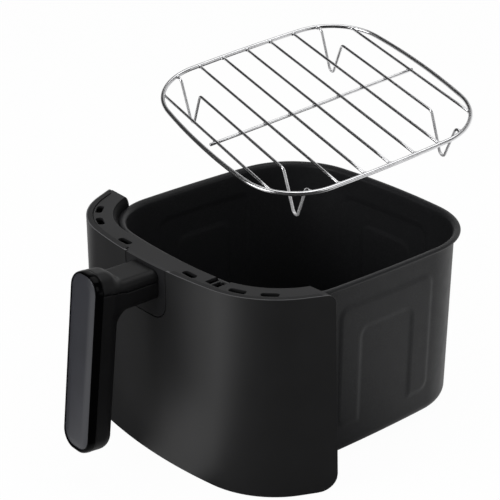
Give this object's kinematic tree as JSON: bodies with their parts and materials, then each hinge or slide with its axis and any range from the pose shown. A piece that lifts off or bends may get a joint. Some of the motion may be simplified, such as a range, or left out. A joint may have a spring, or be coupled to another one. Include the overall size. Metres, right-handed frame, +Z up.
{
  "type": "air fryer drawer",
  "caption": "Rounded coated pan with a bowed front panel, slotted top trim and hanging pull handle, and a footed wire rack that lifts straight out of the pan.",
  "frame": {"origin": "middle of the pan's flat underside", "axes": "+Z up, -Y towards the handle, +X to the right seen from the handle's side"},
  "size_m": [0.2702, 0.3307, 0.2822],
  "materials": {
    "pan_coating": "satin non-stick coating",
    "bracket_steel": "bare pressed sheet",
    "rivets": "satin",
    "cover_plastic": "matte",
    "panel_plastic": "fine matte grain",
    "screws": "zinc plated",
    "trim_plastic": "satin",
    "base_plastic": "fine matte grain",
    "handle_plastic": "satin",
    "bezel_gloss": "polished",
    "inlay": "satin grey",
    "wire": "bright plated wire"
  },
  "bodies": {
    "drawer": {"pan": "pan_coating", "pan_bracket": "bracket_steel", "bracket_rivets": "rivets", "inner_cover": "cover_plastic", "front_panel": "panel_plastic", "panel_screws": "screws", "top_trim": "trim_plastic", "handle_base": "base_plastic", "handle_lower": "handle_plastic", "handle_upper": "handle_plastic", "handle_screws": "screws", "inlay_bezel": "bezel_gloss", "inlay_face": "inlay"},
    "rack": {"rack_ring": "wire", "rack_bar_1": "wire", "rack_bar_3": "wire", "rack_bar_4": "wire", "rack_bar_5": "wire", "rack_bar_6": "wire", "rack_bar_7": "wire", "rack_bar_9": "wire", "rack_leg_front": "wire", "rack_leg_rear": "wire", "rack_brace": "wire"}
  },
  "joints": [
    {"name": "rack_lift", "type": "slide", "parent": "drawer", "child": "rack", "axis": [0.1473, 0.1178, 0.9821], "range_m": [-0.095, 0.08]}
  ]
}
